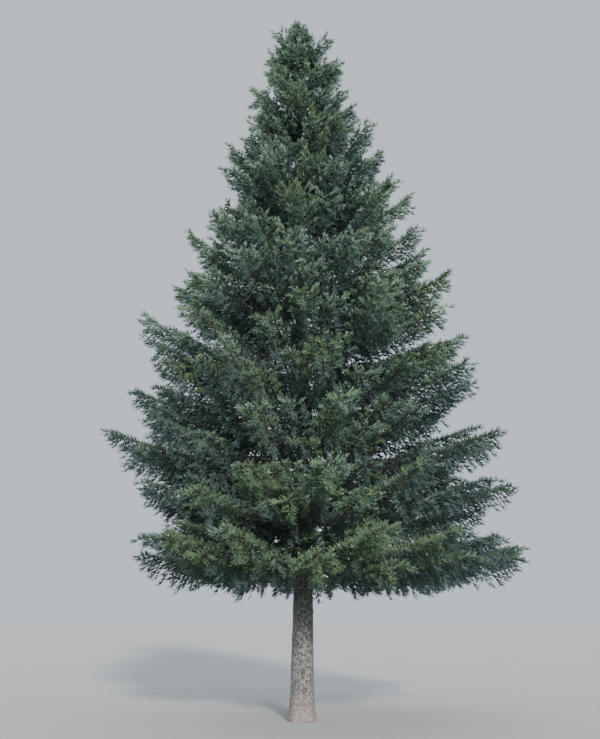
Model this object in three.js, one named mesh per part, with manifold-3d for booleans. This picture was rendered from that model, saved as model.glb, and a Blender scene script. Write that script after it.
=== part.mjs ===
// A garden balsam fir: one straight trunk, boughs in rising tiers, and a mass of flat
// needle sprays at the end of every bough. Millimetres, +Z up, the cut at ground level on Z = 0.
import * as THREE from "three";
import { mergeVertices } from "three/addons/utils/BufferGeometryUtils.js";
import Module from "manifold-3d";

// Driving dimensions of the whole tree
const treeHeight = 12000;
const trunkLength = 11280; // from the cut at ground level to the woody tip
const trunkRadiusAtFlareTop = 172;
const trunkRadiusAtTip = 11;
const flareHeight = 620;
const flareExtra = 46; // how far the root flare stands out at the ground
const flareLobes = 5;
const flareLobeDepth = 13;
const trunkSides = 16;
const trunkBow = 34; // a slight bow to the right at mid height
const trunkLean = -62; // how far the tip stands to the left of the foot
const clearance = 0.35; // gap between pieces that meet

// Tiers of boughs, counted from the lowest
const boughsInTier = [5, 5, 4, 4, 4, 4, 3, 3, 3, 3, 2];
const tiersWithBareBoughs = 4; // above these the foliage starts at the trunk
const firstTipHeight = 2620;
const tipSpacing = 845;
const crownFoot = 2500; // where the crown's outline starts to narrow
const crownSpread = 3780; // reach of the longest boughs
const crownPower = 0.68; // below 1 the outline bulges past a straight cone
// How much shorter the boughs are on the left, tier by tier
const leftShorter = [0.28, 0.2, 0.0, 0.0, 0.04, 0.09, 0.13, 0.1, 0.16, 0.26, 0.26];
const boughStartSlope = [-0.3, 0.42]; // at the trunk, lowest and highest tier
const boughEndSlope = [0.24, 1.0]; // at the tip, lowest and highest tier
const bareShare = [0.36, 0.26]; // of the reach, lowest tier and highest tier with bare boughs
const boughRadius = [44, 30];
const stemTipRadius = 7;
const planSeed = 81;
const firstAzimuth = 0.78;
const tierTwist = 0.16; // radians past half a sector, from one tier to the next
const azimuthPlay = 0.07; // of a sector
const heightPlay = 45;
const reachPlay = 0.05;

// Masses of foliage
const sectorUse = 0.94; // share of its sector that a mass may fill
const layerUse = 0.47; // of the tier spacing, above and below the bough's own line
const layerAtTrunk = 0.6; // of that half layer, where the mass is close to the trunk
const twigRadius = 12;
const heartTo = 0.68; // of the reach
const stemTo = 0.58; // the stem ends inside the heart
const heartWidth = 0.88; // of the half sector
const heartThickness = 0.62; // of the half layer
const notchInHeart = 0.6;
const heartFullness = 0.35; // 0 for an ellipse, towards 1 for a block
const bladeWidthShare = 0.48; // of a spray's length
const bladeThickShare = 0.045;
const bladeTeeth = 2; // on each side
const notchDepth = 0.6;
const bladeDroop = 0.7; // how far the sides of a spray hang, for their distance from its rib
const leastRoot = 2000; // cubic millimetres of a twig or spray sunk in what bears it
const smallestGap = 8; // between a spray and the pieces round its mass

// Rows of sprays on each mass: how many on low, middle and high tiers, how far they fan out,
// and where they start and end in shares of the reach, of the fan and of the half layer
const sprayRows = [
  { counts: [4, 3, 3], fan: 0.8, from: 0.62, to: 1.0, startAside: 0.66, startLift: 0.12, endLift: 0.55 },
  { counts: [2, 1, 1], fan: 0.6, from: 0.58, to: 0.96, startAside: 0.7, startLift: -0.15, endLift: -0.6 },
  { counts: [1, 1, 1], fan: 0.5, from: 0.4, to: 0.76, startAside: 0.6, startLift: 0.3, endLift: 0.94 },
];
const flankTwigs = { from: 0.03, to: 0.2, aside: 0.5, lift: -0.1 }; // past the bare bough

// The tuft of sprays at the very top, round the leader
const leaderSprays = 8;
const leaderTurn = 2.4;
const leaderRadius = 12;

const wasm = await Module();
wasm.setup();

// A small seeded generator, so that every build grows the same tree.
function seeded(seed) {
  let state = seed >>> 0;
  return () => {
    state = (Math.imul(state, 1664525) + 1013904223) >>> 0;
    return state / 4294967296;
  };
}

const mix = (a, b, t) => a + (b - a) * t;
const clamp01 = (t) => Math.min(1, Math.max(0, t));
const up = new THREE.Vector3(0, 0, 1);

// Only the positions of a geometry, with shared vertices merged.
function bare(geometry) {
  geometry.deleteAttribute("normal");
  geometry.deleteAttribute("uv");
  return mergeVertices(geometry, 1e-5);
}

function toSolid(geometry) {
  const made = new wasm.Manifold(
    new wasm.Mesh({
      numProp: 3,
      vertProperties: new Float32Array(geometry.attributes.position.array),
      triVerts: new Uint32Array(geometry.index.array),
    }),
  );
  if (made.volume() > 0) return made;
  const turned = geometry.clone();
  const corners = turned.index.array;
  for (let i = 0; i < corners.length; i += 3) {
    [corners[i + 1], corners[i + 2]] = [corners[i + 2], corners[i + 1]];
  }
  return toSolid(turned);
}

function toGeometry(solid) {
  const mesh = solid.getMesh();
  return new THREE.BufferGeometry()
    .setAttribute("position", new THREE.BufferAttribute(new Float32Array(mesh.vertProperties), 3))
    .setIndex(new THREE.BufferAttribute(new Uint32Array(mesh.triVerts), 1));
}

// The trunk's centre at a height: a slight bow, and a lean towards the tip.
function trunkCentre(z) {
  const t = z / trunkLength;
  return new THREE.Vector3(trunkBow * Math.sin(Math.PI * t) + trunkLean * t * t, 0, z);
}

function trunkRadius(z) {
  const t = clamp01((z - flareHeight) / (trunkLength - flareHeight));
  const flare = flareExtra * (1 - clamp01(z / flareHeight)) ** 2;
  return mix(trunkRadiusAtFlareTop, trunkRadiusAtTip, t ** 0.93) + flare;
}

// The trunk as a closed lathe-like limb, with shallow lobes in its root flare.
function trunkGeometry(extra) {
  const rings = 9;
  const geometry = bare(new THREE.CylinderGeometry(1, 1, 1, trunkSides, rings));
  const position = geometry.attributes.position;
  for (let i = 0; i < position.count; i++) {
    const share = clamp01(position.getY(i) + 0.5);
    const z = trunkLength * share ** 1.7;
    const turn = Math.atan2(position.getZ(i), position.getX(i));
    const onAxis = Math.hypot(position.getX(i), position.getZ(i)) < 0.5;
    const lobe = flareLobeDepth * Math.cos(flareLobes * turn) * (1 - clamp01(z / flareHeight)) ** 2;
    const radius = onAxis ? 0 : trunkRadius(z) + lobe + extra;
    const centre = trunkCentre(z);
    position.setXYZ(i, centre.x + radius * Math.cos(turn), centre.y + radius * Math.sin(turn), z);
  }
  return geometry;
}

// A tapering limb: a cylinder whose rings are carried along a path.
function limbGeometry(pathAt, radiusAt, from, to, sides, segments) {
  const geometry = bare(new THREE.CylinderGeometry(1, 1, 1, sides, segments));
  const position = geometry.attributes.position;
  const step = (to - from) / 50;
  for (let i = 0; i < position.count; i++) {
    const t = mix(from, to, clamp01(position.getY(i) + 0.5));
    const tangent = pathAt(t + step).sub(pathAt(t - step)).normalize();
    const side = new THREE.Vector3().crossVectors(tangent, up).normalize();
    const over = new THREE.Vector3().crossVectors(side, tangent);
    const radius = radiusAt(t);
    const point = pathAt(t)
      .addScaledVector(side, radius * position.getX(i))
      .addScaledVector(over, radius * position.getZ(i));
    position.setXYZ(i, point.x, point.y, point.z);
  }
  return geometry;
}

// A straight three-sided twig from one point to another, its foot sunk into what bears it.
function twigGeometry(from, to, radius) {
  const along = new THREE.Vector3().subVectors(to, from);
  const geometry = bare(new THREE.CylinderGeometry(radius / 2, radius, along.length(), 3, 1));
  geometry.translate(0, along.length() / 2, 0);
  const turn = new THREE.Quaternion().setFromUnitVectors(
    new THREE.Vector3(0, 1, 0),
    along.clone().normalize(),
  );
  return geometry.applyQuaternion(turn).translate(from.x, from.y, from.z);
}

// One spray of needles as a toothed blade: an outline that alternates teeth and notches
// round a thicker middle, with hanging sides. It starts at root and ends at tip.
function bladeGeometry(root, tip, facing, widthShare) {
  const along = new THREE.Vector3().subVectors(tip, root);
  const length = along.length();
  const around = 4 * bladeTeeth + 4;
  const geometry = bare(new THREE.SphereGeometry(1, around, 2));
  const position = geometry.attributes.position;
  const halfWidth = (length * widthShare) / 2;
  const halfThick = (length * bladeThickShare) / 2;
  for (let i = 0; i < position.count; i++) {
    if (Math.abs(position.getY(i)) > 0.5) {
      position.setXYZ(i, length * 0.42, 0, Math.sign(position.getY(i)) * halfThick);
      continue;
    }
    const turn = Math.atan2(position.getZ(i), position.getX(i));
    const index = Math.round((turn / (2 * Math.PI)) * around);
    const reach = index % 2 === 0 ? 1 : notchDepth;
    const lean = index % 2 === 0 ? 0.06 * Math.abs(Math.sin(turn)) : 0;
    const across = halfWidth * reach * Math.sin(turn);
    position.setXYZ(
      i,
      length * (0.5 + 0.5 * reach * Math.cos(turn) + lean),
      across,
      -bladeDroop * Math.abs(across),
    );
  }
  const forward = along.normalize();
  const across = new THREE.Vector3().crossVectors(facing, forward).normalize();
  const normal = new THREE.Vector3().crossVectors(forward, across);
  return geometry.applyMatrix4(
    new THREE.Matrix4().makeBasis(forward, across, normal).setPosition(root),
  );
}

// The crown's reach at the height of a tip, from the foot of the crown to the top.
function crownReach(tipHeight) {
  const rise = clamp01((tipHeight - crownFoot) / (treeHeight + 50 - crownFoot));
  return crownSpread * (1 - rise) ** crownPower;
}

// Every bough of the tree: where it leaves the trunk, how far it reaches and how it curves.
function planBoughs() {
  const random = seeded(planSeed);
  const boughs = [];
  const tiers = boughsInTier.length;
  let tierAzimuth = firstAzimuth;
  boughsInTier.forEach((count, tier) => {
    const rise = tier / (tiers - 1);
    const tipHeight = firstTipHeight + tier * tipSpacing;
    const sector = (2 * Math.PI) / count;
    tierAzimuth += sector / 2 + tierTwist;
    for (let n = 0; n < count; n++) {
      const azimuth = tierAzimuth + sector * (n + azimuthPlay * (2 * random() - 1));
      const leftness = Math.max(0, -Math.cos(azimuth));
      const short = 1 - leftness * leftShorter[tier];
      const reach = crownReach(tipHeight) * short * (1 + reachPlay * (2 * random() - 1));
      const startSlope = mix(boughStartSlope[0], boughStartSlope[1], rise);
      const endSlope = mix(boughEndSlope[0], boughEndSlope[1], rise);
      const tip = tipHeight + heightPlay * (2 * random() - 1);
      boughs.push({
        tier,
        number: n + 1,
        azimuth,
        halfSector: (sector / 2) * sectorUse,
        halfLayer: tipSpacing * layerUse,
        reach,
        startSlope,
        endSlope,
        foot: tip - (reach * (startSlope + endSlope)) / 2,
        hasBough: tier < tiersWithBareBoughs,
        bareTo: mix(bareShare[0], bareShare[1], tier / (tiersWithBareBoughs - 1)),
        radius: mix(boughRadius[0], boughRadius[1], clamp01(rise * 2)) * (tier < tiersWithBareBoughs ? 1 : 0.75),
        seed: 1000 + 37 * boughs.length,
      });
    }
  });
  return boughs;
}

// Height of the bough's own line at a share of its reach.
function boughHeight(bough, share) {
  const bend = (bough.endSlope - bough.startSlope) / 2;
  return bough.foot + bough.reach * (bough.startSlope * share + bend * share * share);
}

function polar(bough, azimuth, distance, height) {
  const centre = trunkCentre(bough.foot);
  return new THREE.Vector3(
    centre.x + distance * Math.cos(azimuth),
    centre.y + distance * Math.sin(azimuth),
    height,
  );
}

function boughPoint(bough, share) {
  return polar(bough, bough.azimuth, bough.reach * share, boughHeight(bough, share));
}

function boughRadiusAt(bough, share) {
  return mix(bough.radius, stemTipRadius, clamp01(share) ** 0.8);
}

// Half the height of a mass's space, thinner towards the trunk.
function layerAt(bough, share) {
  return bough.halfLayer * mix(layerAtTrunk, 1, clamp01(share * 1.3));
}

// A point in a mass's own curved space: a share of its reach, of its half sector and half layer.
function spacePoint(bough, share, aside, lift) {
  return polar(
    bough,
    bough.azimuth + aside * bough.halfSector,
    bough.reach * share,
    boughHeight(bough, share) + lift * layerAt(bough, share),
  );
}

// The space that belongs to one mass: its sector of its tier, above and below the bough's line.
function keepsToSpace(bough, geometry) {
  const centre = trunkCentre(bough.foot);
  const position = geometry.attributes.position;
  for (let i = 0; i < position.count; i++) {
    const x = position.getX(i) - centre.x;
    const y = position.getY(i) - centre.y;
    const distance = Math.hypot(x, y);
    const turn = Math.atan2(y, x) - bough.azimuth;
    const offset = Math.abs(Math.atan2(Math.sin(turn), Math.cos(turn)));
    const share = distance / bough.reach;
    const height = position.getZ(i) - boughHeight(bough, share);
    if (offset > bough.halfSector || Math.abs(height) > layerAt(bough, share)) return false;
    if (share > 1.03) return false;
  }
  return true;
}

// Whether a solid stays clear of every piece already placed.
const placed = [];
function staysClear(solid) {
  const box = solid.boundingBox();
  return placed.every((other) => {
    const apart = [0, 1, 2].some(
      (k) =>
        box.min[k] > other.box.max[k] + smallestGap || box.max[k] < other.box.min[k] - smallestGap,
    );
    return apart || solid.minGap(other.solid, smallestGap) >= smallestGap;
  });
}

// The dense heart of a mass, in the bough's own curved space: a flattened body along the stem
// whose alternate corners are drawn out and forward into the tips of crowded sprays.
function heartGeometry(bough, from, to, random) {
  const around = 6;
  const rings = 5;
  const geometry = bare(new THREE.SphereGeometry(1, around, rings));
  const position = geometry.attributes.position;
  for (let i = 0; i < position.count; i++) {
    const ring = Math.round((Math.acos(-position.getY(i)) / Math.PI) * rings);
    const spoke = Math.round((Math.atan2(position.getZ(i), position.getX(i)) / (2 * Math.PI)) * around);
    const isTip = (ring + spoke) % 2 === 0;
    const girth = Math.hypot(position.getX(i), position.getZ(i));
    const filled = girth > 0.01 ? girth ** -heartFullness : 0;
    const size = filled * (isTip ? 1 : notchInHeart) * (1 + 0.16 * (random() - 0.5));
    const along = clamp01((position.getY(i) + 1) / 2) ** 0.8;
    const share = mix(from, to, along) + (isTip && ring > 0 ? 0.05 : 0);
    const opening = Math.min(1, 0.55 + 1.2 * along);
    const point = spacePoint(
      bough,
      share,
      heartWidth * opening * position.getX(i) * size,
      heartThickness * position.getZ(i) * size,
    );
    position.setXYZ(i, point.x, point.y, point.z);
  }
  return geometry;
}

// Keeps the largest body of a union, so that loose scraps and sealed hollows are gone.
function largestBody(solid) {
  return solid.decompose().reduce((a, b) => (b.volume() > a.volume() ? b : a));
}

// One mass of foliage: a stem, a heart, twigs and toothed sprays, all fused into one solid.
function massSolid(bough, trunkCutter) {
  const random = seeded(bough.seed);
  const start = bough.hasBough ? bough.bareTo : 0;
  const band = bough.tier < 4 ? 0 : bough.tier < 8 ? 1 : 2;
  const stem = limbGeometry(
    (t) => boughPoint(bough, t),
    (t) => boughRadiusAt(bough, t),
    start + (bough.hasBough ? clearance / bough.reach : 0),
    stemTo,
    3,
    2,
  );
  const heartFrom = bough.hasBough ? start + 0.05 : 0.1;
  const core = toSolid(stem).add(toSolid(heartGeometry(bough, heartFrom, heartTo, random)));
  const parts = [core];
  const fits = (geometry) => {
    if (!keepsToSpace(bough, geometry)) return null;
    const solid = toSolid(geometry);
    const isSunk = solid.intersect(core).volume() > leastRoot;
    return isSunk && staysClear(solid) ? solid : null;
  };
  const growSpray = (row, aside) => {
    const shift = 0.14 * (random() - 0.5);
    const endShare = row.to - 0.13 * row.to * aside * aside - 0.05 * random();
    const endLift = row.endLift + 0.25 * (random() - 0.5);
    const roll = 0.9 * (random() - 0.5);
    for (let attempt = 0; attempt < 5; attempt++) {
      const ease = 1 - 0.12 * attempt;
      const from = row.from * (1 - 0.03 * attempt);
      const root = spacePoint(bough, from, aside * row.startAside * ease, row.startLift * ease);
      const tip = spacePoint(bough, endShare, (aside + shift) * ease, endLift * ease);
      const facing = new THREE.Vector3(
        -Math.sin(bough.azimuth) * roll,
        Math.cos(bough.azimuth) * roll,
        1,
      );
      const blade = fits(bladeGeometry(root, tip, facing, bladeWidthShare * ease));
      if (!blade) continue;
      parts.push(blade);
      return;
    }
  };
  for (const row of sprayRows) {
    const count = row.counts[band];
    for (let n = 0; n < count; n++) {
      growSpray(row, row.fan * (count > 1 ? (2 * n) / (count - 1) - 1 : 1.2 * (random() - 0.5)));
    }
  }
  for (const side of bough.hasBough ? [-1, 1] : []) {
    const foot = boughPoint(bough, start + flankTwigs.from);
    const end = spacePoint(bough, start + flankTwigs.to, side * flankTwigs.aside, flankTwigs.lift);
    const twig = fits(twigGeometry(foot, end, twigRadius));
    if (twig) parts.push(twig);
  }
  let solid = wasm.Manifold.union(parts);
  if (!bough.hasBough) solid = solid.subtract(trunkCutter);
  return largestBody(solid);
}

// The tuft at the top: a short leader above the trunk's tip with sprays that rise round it.
function leaderSolid() {
  const random = seeded(7);
  const foot = trunkCentre(trunkLength + clearance);
  const top = trunkCentre(trunkLength);
  top.z = treeHeight;
  const parts = [toSolid(twigGeometry(foot, top, leaderRadius))];
  const span = treeHeight - foot.z;
  for (let n = 0; n < leaderSprays; n++) {
    const share = n / leaderSprays;
    const root = foot.clone().lerp(top, 0.04 + 0.66 * share);
    const azimuth = n * leaderTurn;
    const length = span * mix(0.72, 0.36, share);
    const rise = mix(0.7, 1.25, share);
    const tip = root
      .clone()
      .add(
        new THREE.Vector3(
          Math.cos(azimuth) * Math.cos(rise),
          Math.sin(azimuth) * Math.cos(rise),
          Math.sin(rise),
        ).multiplyScalar(length * (0.95 + 0.1 * random())),
      );
    const blade = toSolid(bladeGeometry(root, tip, up, bladeWidthShare));
    if (staysClear(blade)) parts.push(blade);
  }
  return largestBody(wasm.Manifold.union(parts));
}

const bark = new THREE.MeshStandardMaterial({ color: 0x85796c, roughness: 0.9, metalness: 0 });
const needles = new THREE.MeshStandardMaterial({ color: 0x3d5a42, roughness: 0.7, metalness: 0 });

const tree = new THREE.Group();
function addNode(name, solid, material) {
  const mesh = new THREE.Mesh(toGeometry(solid), material);
  mesh.name = name;
  tree.add(mesh);
  placed.push({ solid, box: solid.boundingBox() });
}

const trunkCutter = toSolid(trunkGeometry(clearance));
addNode("trunk", toSolid(trunkGeometry(0)), bark);
const boughs = planBoughs();
for (const bough of boughs.filter((each) => each.hasBough)) {
  const limb = limbGeometry(
    (t) => boughPoint(bough, t),
    (t) => boughRadiusAt(bough, t),
    0,
    bough.bareTo,
    6,
    2,
  );
  addNode(`bough_${bough.tier + 1}_${bough.number}`, toSolid(limb).subtract(trunkCutter), bark);
}
for (const bough of boughs) {
  addNode(`foliage_${bough.tier + 1}_${bough.number}`, massSolid(bough, trunkCutter), needles);
}
addNode("foliage_top", leaderSolid(), needles);

export default tree;
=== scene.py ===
"""Balsam fir, a whole tree rooted in the ground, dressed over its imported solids.

Lengths are in metres, with the foot of the trunk at the origin and Z up.
The crown grows by one seeded rule. The boughs are those of the solids, and limbs, side twigs,
shoots and needles grow on from them inside each bough's own space.
"""

import math

import bmesh
import bpy
import numpy as np
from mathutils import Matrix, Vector, noise


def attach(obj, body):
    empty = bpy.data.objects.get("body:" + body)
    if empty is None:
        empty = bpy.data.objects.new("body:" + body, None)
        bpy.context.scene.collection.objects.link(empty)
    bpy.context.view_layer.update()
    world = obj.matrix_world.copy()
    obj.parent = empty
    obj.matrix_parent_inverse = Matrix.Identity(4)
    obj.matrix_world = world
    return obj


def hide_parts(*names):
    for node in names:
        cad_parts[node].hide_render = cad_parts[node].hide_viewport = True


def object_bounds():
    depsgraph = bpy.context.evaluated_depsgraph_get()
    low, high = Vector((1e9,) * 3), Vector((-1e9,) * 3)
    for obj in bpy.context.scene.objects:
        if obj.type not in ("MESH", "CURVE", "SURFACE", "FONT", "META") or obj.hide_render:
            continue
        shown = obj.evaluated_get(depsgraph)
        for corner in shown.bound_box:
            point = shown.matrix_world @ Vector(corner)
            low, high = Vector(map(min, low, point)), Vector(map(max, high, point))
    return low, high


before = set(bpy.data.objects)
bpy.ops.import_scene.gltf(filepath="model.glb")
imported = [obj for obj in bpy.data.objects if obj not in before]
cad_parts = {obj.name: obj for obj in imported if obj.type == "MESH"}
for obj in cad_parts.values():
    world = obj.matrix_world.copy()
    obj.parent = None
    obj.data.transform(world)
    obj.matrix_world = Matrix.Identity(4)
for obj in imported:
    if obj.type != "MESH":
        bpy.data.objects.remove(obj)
SOLID_LOW, SOLID_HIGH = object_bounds()

bl_info = {
    "name": "Balsam Fir",
    "version": (1, 0, 0),
    "blender": (4, 5, 0),
    "location": "View3D > Sidebar > Fir",
    "description": "Grows a balsam fir with barked trunk and boughs, twigs and sprays of needles",
    "category": "Object",
}

BODY = "root"

# The tree's own plan, the same as that of its solids.
TREE_HEIGHT = 12.0
TRUNK_LENGTH = 11.28
TRUNK_RADIUS_LOW = 0.172
TRUNK_RADIUS_TOP = 0.011
TRUNK_TAPER = 0.93
FLARE_HEIGHT = 0.62
FLARE_EXTRA = 0.046
FLARE_LOBES = 5
FLARE_LOBE_DEPTH = 0.013
TRUNK_BOW = 0.034
TRUNK_LEAN = -0.062
BOUGHS_PER_TIER = (5, 5, 4, 4, 4, 4, 3, 3, 3, 3, 2)
TIERS_WITH_BARE_BOUGHS = 4
FIRST_TIP_HEIGHT = 2.62
TIP_SPACING = 0.845
CROWN_FOOT = 2.5
CROWN_SPREAD = 3.78
CROWN_POWER = 0.68
CROWN_CLOSES_ABOVE_TOP = 0.05
LEFT_SHORTER = (0.28, 0.2, 0.0, 0.0, 0.04, 0.09, 0.13, 0.1, 0.16, 0.26, 0.26)
START_SLOPE = (-0.3, 0.42)
END_SLOPE = (0.24, 1.0)
BOUGH_RADIUS = (0.044, 0.03)
HIDDEN_BOUGH_THINNESS = 0.75
FIRST_AZIMUTH = 0.78
TIER_TWIST = 0.16
AZIMUTH_PLAY = 0.07
HEIGHT_PLAY = 0.045
REACH_PLAY = 0.05
SECTOR_USE = 0.94
LAYER_USE = 0.47
LAYER_AT_TRUNK = 0.6
LAYER_OPENS = 1.3
PLAN_SEED = 81
DRAW_FACTOR = 1664525
DRAW_STEP = 1013904223
DRAW_RANGE = 2**32


def clamp01(value):
    return min(1.0, max(0.0, value))


def mix(a, b, share):
    return a + (b - a) * share


def gone(values, start, stop):
    """How far values have gone from the first limit to the second, from 0 to 1."""
    return np.clip((values - start) / (stop - start), 0, 1)


def seeded(seed):
    """The random draws of the solids' own plan."""
    state = seed % DRAW_RANGE

    def draw():
        nonlocal state
        state = (state * DRAW_FACTOR + DRAW_STEP) % DRAW_RANGE
        return state / DRAW_RANGE

    return draw


def trunk_centre(height):
    share = height / TRUNK_LENGTH
    across = TRUNK_BOW * math.sin(math.pi * share) + TRUNK_LEAN * share * share
    return Vector((across, 0.0, height))


def level_way(turn):
    """The level direction at a turn round the trunk."""
    return Vector((math.cos(turn), math.sin(turn), 0.0))


def flare_share(height):
    """How much of the root flare is left at a height."""
    return (1 - clamp01(height / FLARE_HEIGHT)) ** 2


def trunk_radius(height):
    """The trunk's mean radius at a height, without the lobes of its flare."""
    share = clamp01((height - FLARE_HEIGHT) / (TRUNK_LENGTH - FLARE_HEIGHT))
    taper = mix(TRUNK_RADIUS_LOW, TRUNK_RADIUS_TOP, share**TRUNK_TAPER)
    return taper + FLARE_EXTRA * flare_share(height)


def crown_reach(height):
    """How far out the crown's outline stands at a height."""
    above = clamp01((height - CROWN_FOOT) / (TREE_HEIGHT + CROWN_CLOSES_ABOVE_TOP - CROWN_FOOT))
    return CROWN_SPREAD * (1 - above) ** CROWN_POWER


def plan_boughs():
    """The main boughs and the space that each one's foliage keeps to, as in the solids."""
    draw = seeded(PLAN_SEED)
    boughs = []
    tier_azimuth = FIRST_AZIMUTH
    last_tier = len(BOUGHS_PER_TIER) - 1
    for tier, count in enumerate(BOUGHS_PER_TIER):
        rise = tier / last_tier
        tip_height = FIRST_TIP_HEIGHT + tier * TIP_SPACING
        sector = 2 * math.pi / count
        tier_azimuth += sector / 2 + TIER_TWIST
        for n in range(count):
            azimuth = tier_azimuth + sector * (n + AZIMUTH_PLAY * (2 * draw() - 1))
            leftness = max(0.0, -math.cos(azimuth))
            short = 1 - leftness * LEFT_SHORTER[tier]
            reach = crown_reach(tip_height) * short * (1 + REACH_PLAY * (2 * draw() - 1))
            start_slope = mix(*START_SLOPE, rise)
            end_slope = mix(*END_SLOPE, rise)
            tip = tip_height + HEIGHT_PLAY * (2 * draw() - 1)
            bare = tier < TIERS_WITH_BARE_BOUGHS
            boughs.append({
                "tier": tier,
                "rise": rise,
                "node": f"{tier + 1}_{n + 1}",
                "azimuth": azimuth,
                "half_sector": sector / 2 * SECTOR_USE,
                "half_layer": TIP_SPACING * LAYER_USE,
                "reach": reach,
                "start_slope": start_slope,
                "end_slope": end_slope,
                "foot": tip - reach * (start_slope + end_slope) / 2,
                "has_bough": bare,
                "radius": mix(*BOUGH_RADIUS, clamp01(rise * 2))
                * (1 if bare else HIDDEN_BOUGH_THINNESS),
            })
    return boughs


def bough_height(bough, share):
    """The height of a bough's middle line at a share of its reach."""
    bend = (bough["end_slope"] - bough["start_slope"]) / 2
    return bough["foot"] + bough["reach"] * (bough["start_slope"] * share + bend * share * share)


def space_point(bough, share, aside, lift):
    """A point in a mass's own space, by shares of its reach, half sector and half layer."""
    centre = trunk_centre(bough["foot"])
    turn = bough["azimuth"] + aside * bough["half_sector"]
    out = bough["reach"] * share
    thick = bough["half_layer"] * mix(LAYER_AT_TRUNK, 1, clamp01(share * LAYER_OPENS))
    return Vector((
        centre.x + out * math.cos(turn),
        centre.y + out * math.sin(turn),
        bough_height(bough, share) + lift * thick,
    ))


# Where limbs run in a mass: aside, lift, share of the reach. The first is the bough itself.
LIMBS_LOW = (
    (0.0, 0.0, 1.0),
    (-0.56, 0.06, 0.95),
    (0.6, 0.12, 0.97),
    (-0.34, 0.6, 0.82),
    (0.36, 0.64, 0.84),
    (-0.93, -0.35, 0.86),
    (0.86, -0.5, 0.8),
    (0.26, -0.5, 0.88),
    (-0.26, -0.6, 0.76),
)
LIMBS_HIGH = (
    (0.0, 0.0, 1.0),
    (-0.56, 0.2, 0.97),
    (0.58, -0.1, 0.96),
    (-0.3, 0.8, 0.82),
    (0.36, 0.84, 0.8),
    (0.93, -0.35, 0.9),
    (-0.9, -0.5, 0.86),
    (0.14, -0.75, 0.88),
    (-0.42, -0.95, 0.8),
    (0.8, 0.9, 0.7),
)
TIERS_WITH_LOW_LIMBS = 6
LIMB_ASIDE_PLAY = 0.07
LIMB_LIFT_PLAY = 0.1
LIMB_REACH_PLAY = (0.93, 1.03)
LIMB_THICKNESS = (0.42, 0.6)
TOP_LIMB_LIFT = 0.3

# Room left past a limb's end for its needles, and more of it low down, at the left and at the top.
TUFT_ROOM = 0.12
TUFT_ROOM_LOW = 0.22
TUFT_ROOM_LEFT = 0.18
TUFT_ROOM_TOP = 0.14

# The rings of side stems round the top shoot. Pairs are for the lowest ring and the highest.
LEADER_RINGS = 9
RINGS_OF_SIX = 6
RINGS_START_BELOW_TRUNK_TOP = 0.35
RINGS_END_BELOW_TREE_TOP = 0.24
RING_STEM_LENGTH = (0.38, 0.07)
RING_STEM_SLOPE = (0.45, 0.7)
RING_STEM_OUT = 0.82
RING_STEM_BEND = (0.45, 0.16)
LEADER_ROOT_BELOW_TRUNK_TOP = 0.25
LEADER_RADIUS = 0.013
RING_STEM_RADIUS = 0.007
SPIRAL_TURN = 2.4

# The short limbs round the trunk. Pairs are for the foot of the crown and its top.
INNER_LIMB_SPACING = (0.03, 0.1)
INNER_LIMB_SHARE = (0.34, 0.52)
INNER_LIMB_SLOPE = (0.1, 0.75)
INNER_LIMB_RADIUS = 0.009
INNER_LIMBS_DENSE_OVER = 0.7
INNER_LIMB_DROOP = 0.42

# Where the first twig stands on a limb, as a share of its length, for the crown's foot and top.
FIRST_TWIG = (0.4, 0.05)
FIRST_TWIG_PLAY = (0.9, 1.15)
FIRST_TWIG_ON_RING_STEM = 0.08
FIRST_TWIG_ON_INNER_LIMB = 0.25

# Side twigs. Pairs are for the crown's foot and its top.
MOUND_SPACING = 0.85
TWIG_CROWD = 0.72
TWIG_THICKNESS = 0.003
TWIGS_CLOSER_AT_TOP = 0.7
PLANE_TURN = 1.1
ARCHED_LENGTH = (0.36, 0.23)
ARCHED_TILT = (0.0, 0.1)
ARCHED_TURN_UP = (-0.55, 0.1)
ARCHED_SPREAD = math.radians(60)
ARCHED_LEVEL = 0.5
HUNG_LENGTH = (0.46, 0.2)
HUNG_TILT = -1.7
HUNG_TURN_UP = -0.2
HUNG_SPREAD = math.radians(50)
HUNG_LEVEL = 0.6
HUNG_IN_LOWEST_TIER = 0.62
BRANCH_PLAY = 0.16
END_ANGLE = 0.62

# Shoots. Pairs are for those on arched twigs and on hung ones.
SHOOT_RADIUS = 0.0026
SHOOT_FOOT = 0.9
SHOOT_FOOT_AT_TOP = 0.85
SHOOT_SKY = 0.5
SHOOT_LEVEL = 0.8
SIDE_SHOOT_ANGLE = (54.0, 40.0)
HUNG_SHOOTS_LONGER = 1.2
END_SHOOT_ANGLE = math.radians(46)
CREST_SHOOT_ANGLE = math.radians(48)

UPWARD = (0.0, 0.0, 1.0)


def on_curve(start, bend, end, u):
    """The place at a share of a curve of three points."""
    return (1 - u) ** 2 * start + 2 * u * (1 - u) * bend + u**2 * end


class Stems:
    """Curves of three points, with their root radius and what the finer growth needs to know."""

    def __init__(self, points, radius, **facts):
        self.points = np.asarray(points, float).reshape(-1, 3, 3)
        self.radius = np.asarray(radius, float)
        self.facts = {name: np.asarray(values) for name, values in facts.items()}

    def __len__(self):
        return len(self.points)

    def lengths(self):
        steps = np.diff(self.points, axis=1)
        return np.linalg.norm(steps, axis=2).sum(axis=1)

    def at(self, index, share):
        """Places and directions at a share of the length of the chosen stems."""
        start, bend, end = (self.points[index, k] for k in range(3))
        u = share[:, None]
        along = unit((1 - u) * (bend - start) + u * (end - bend))
        return on_curve(start, bend, end, u), along

    def kept(self, mask):
        facts = {name: values[mask] for name, values in self.facts.items()}
        return Stems(self.points[mask], self.radius[mask], **facts)


def unit(vectors):
    return vectors / np.maximum(np.linalg.norm(vectors, axis=-1, keepdims=True), 1e-9)


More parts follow.
